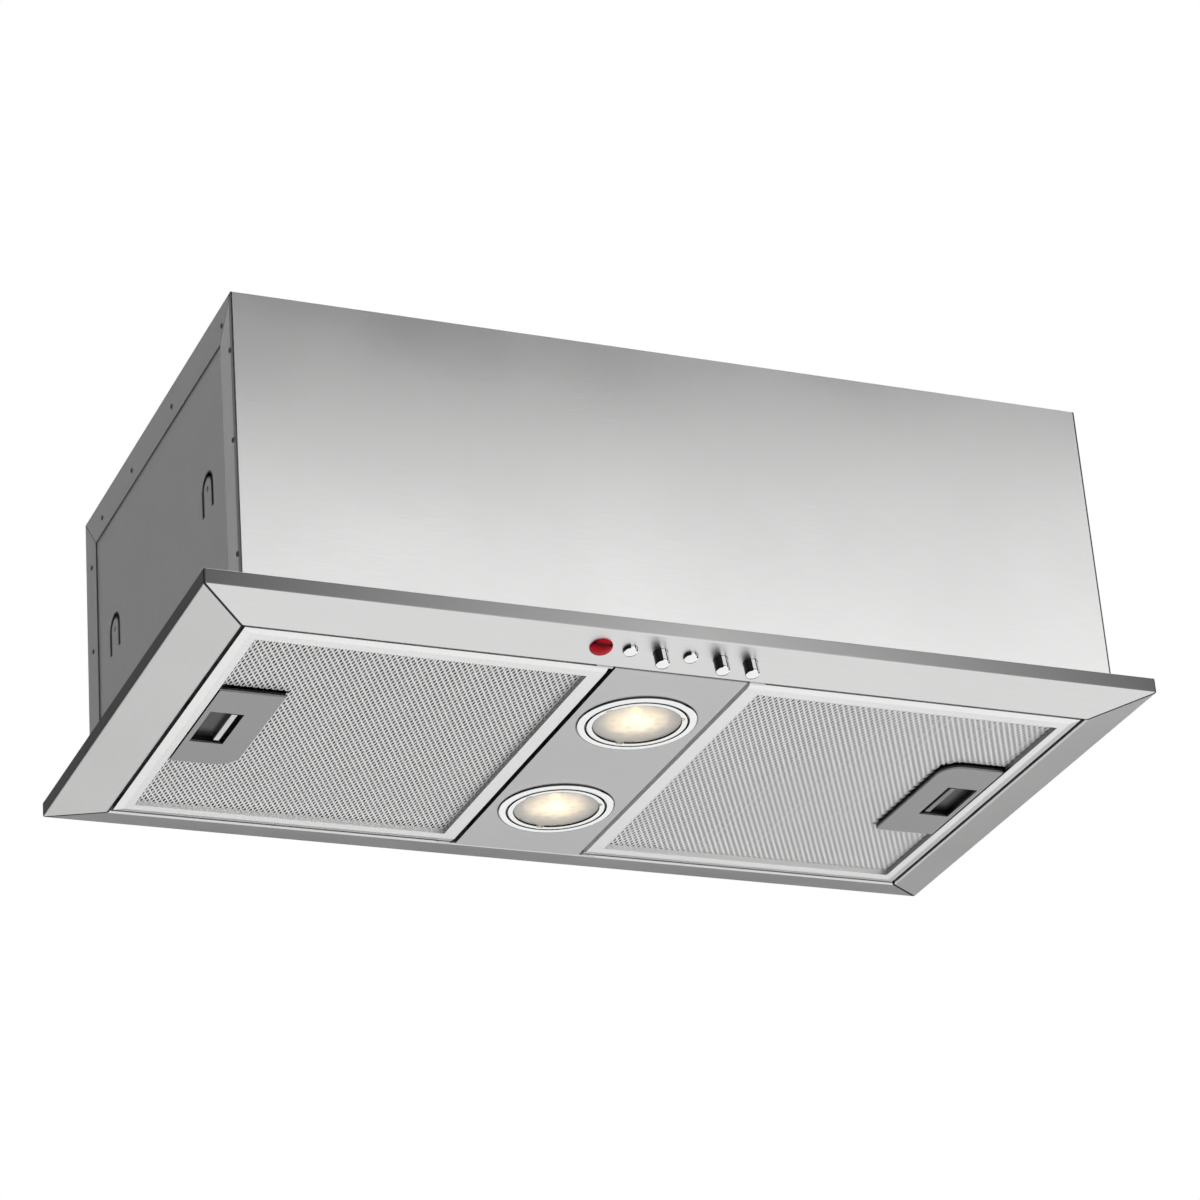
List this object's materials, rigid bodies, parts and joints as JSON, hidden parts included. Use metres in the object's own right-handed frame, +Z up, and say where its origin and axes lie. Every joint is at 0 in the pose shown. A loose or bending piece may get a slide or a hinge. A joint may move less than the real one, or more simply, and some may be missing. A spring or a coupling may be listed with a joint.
{
  "type": "range hood, built-in cabinet insert with two hinged grease filters",
  "caption": "Built-in steel range hood for a cabinet cutout: hinged aluminium mesh grease filters with sliding latches, lamps, push buttons, blower and duct spigot with flaps",
  "frame": {"origin": "middle of the flange's top face, which lies against the underside of the cabinet", "axes": "+X to the right seen from the front, along the width; +Y to the back; +Z up into the cabinet"},
  "size_m": [0.73, 0.4, 0.2982],
  "materials": {
    "box_steel": "brushed, fine grain along the length",
    "rail_steel": "brushed satin",
    "zinc_steel": "zinc plated, dull",
    "rivet_aluminium": "plain",
    "filter_aluminium": "bright rolled, slightly satin",
    "mesh_aluminium": "expanded, bright edges",
    "lamp_chrome": "satin nickel",
    "lamp_glass": "frosted",
    "holder_ceramic": "unglazed",
    "button_chrome": "polished",
    "red_lens": "clear red, gloss",
    "black_plastic": "moulded, fine texture",
    "grey_plastic": "moulded"
  },
  "bodies": {
    "hood": {"front_panel": "box_steel", "back_panel": "box_steel", "top_panel": "box_steel", "right_side_panel": "box_steel", "left_side_panel": "box_steel", "body_rivets": "rivet_aluminium", "front_rail": "rail_steel", "back_rail": "rail_steel", "right_rail": "rail_steel", "left_rail": "rail_steel", "corner_plates": "zinc_steel", "centre_panel": "rail_steel", "panel_screws": "zinc_steel", "switch_bank": "black_plastic", "pilot_lens": "red_lens", "right_blower_casing": "zinc_steel", "left_blower_casing": "zinc_steel", "motor": "zinc_steel", "motor_bracket": "zinc_steel", "capacitor": "grey_plastic", "terminal_box": "grey_plastic", "cable_gland": "black_plastic", "outlet_collar": "zinc_steel", "flap_pin": "zinc_steel", "front_lamp_housing": "lamp_chrome", "front_lamp_ring": "lamp_chrome", "front_lamp_glass": "lamp_glass", "front_lamp_bulb": "lamp_glass", "front_lampholder": "holder_ceramic", "back_lamp_housing": "lamp_chrome", "back_lamp_ring": "lamp_chrome", "back_lamp_glass": "lamp_glass", "back_lamp_bulb": "lamp_glass", "back_lampholder": "holder_ceramic"},
    "left_latch": {"left_latch_slider": "filter_aluminium"},
    "right_latch": {"right_latch_slider": "filter_aluminium"},
    "left_filter": {"left_filter_frame": "filter_aluminium", "left_hinge_pins": "zinc_steel", "left_outer_mesh": "mesh_aluminium", "left_filter_pleats": "mesh_aluminium", "left_inner_mesh": "mesh_aluminium", "left_latch_plate": "filter_aluminium", "left_latch_spring": "zinc_steel"},
    "right_filter": {"right_filter_frame": "filter_aluminium", "right_hinge_pins": "zinc_steel", "right_outer_mesh": "mesh_aluminium", "right_filter_pleats": "mesh_aluminium", "right_inner_mesh": "mesh_aluminium", "right_latch_plate": "filter_aluminium", "right_latch_spring": "zinc_steel"},
    "light_push": {"light_button": "button_chrome"},
    "off_push": {"off_button": "button_chrome"},
    "speed_1_push": {"speed_1_button": "button_chrome"},
    "speed_2_push": {"speed_2_button": "button_chrome"},
    "speed_3_push": {"speed_3_button": "button_chrome"},
    "fan_rotor": {"fan": "filter_aluminium", "motor_shaft": "zinc_steel"},
    "back_flap_body": {"back_flap": "grey_plastic"},
    "front_flap_body": {"front_flap": "grey_plastic"}
  },
  "joints": [
    {"name": "left_filter_swing", "type": "hinge", "parent": "hood", "child": "left_filter", "pos_m": [-0.059, 0, -0.016], "axis": [0, -1, 0], "range_deg": [0, 60]},
    {"name": "right_filter_swing", "type": "hinge", "parent": "hood", "child": "right_filter", "pos_m": [0.059, 0, -0.016], "axis": [0, 1, 0], "range_deg": [0, 60]},
    {"name": "left_latch_slide", "type": "slide", "parent": "left_filter", "child": "left_latch", "axis": [1, 0, 0], "range_m": [0, 0.006], "stiffness_N_per_m": 300, "deforming": ["left_latch_spring"]},
    {"name": "right_latch_slide", "type": "slide", "parent": "right_filter", "child": "right_latch", "axis": [-1, 0, 0], "range_m": [0, 0.006], "stiffness_N_per_m": 300, "deforming": ["right_latch_spring"]},
    {"name": "light_slide", "type": "slide", "parent": "hood", "child": "light_push", "axis": [0, 0.2249, 0.9744], "range_m": [-0.008, 0]},
    {"name": "off_slide", "type": "slide", "parent": "hood", "child": "off_push", "axis": [0, 0.2249, 0.9744], "range_m": [0, 0.008], "stiffness_N_per_m": 60},
    {"name": "speed_1_slide", "type": "slide", "parent": "hood", "child": "speed_1_push", "axis": [0, 0.2249, 0.9744], "range_m": [-0.008, 0]},
    {"name": "speed_2_slide", "type": "slide", "parent": "hood", "child": "speed_2_push", "axis": [0, 0.2249, 0.9744], "range_m": [0, 0.008], "stiffness_N_per_m": 60},
    {"name": "speed_3_slide", "type": "slide", "parent": "hood", "child": "speed_3_push", "axis": [0, 0.2249, 0.9744], "range_m": [0, 0.008], "stiffness_N_per_m": 60},
    {"name": "fan_spin", "type": "hinge", "parent": "hood", "child": "fan_rotor", "pos_m": [0, -0.028, 0.14], "axis": [1, 0, 0], "continuous": true},
    {"name": "back_flap_swing", "type": "hinge", "parent": "hood", "child": "back_flap_body", "pos_m": [0, 0.02, 0.236], "axis": [1, 0, 0], "range_deg": [0, 75]},
    {"name": "front_flap_swing", "type": "hinge", "parent": "hood", "child": "front_flap_body", "pos_m": [0, 0.02, 0.236], "axis": [-1, 0, 0], "range_deg": [0, 75]}
  ]
}
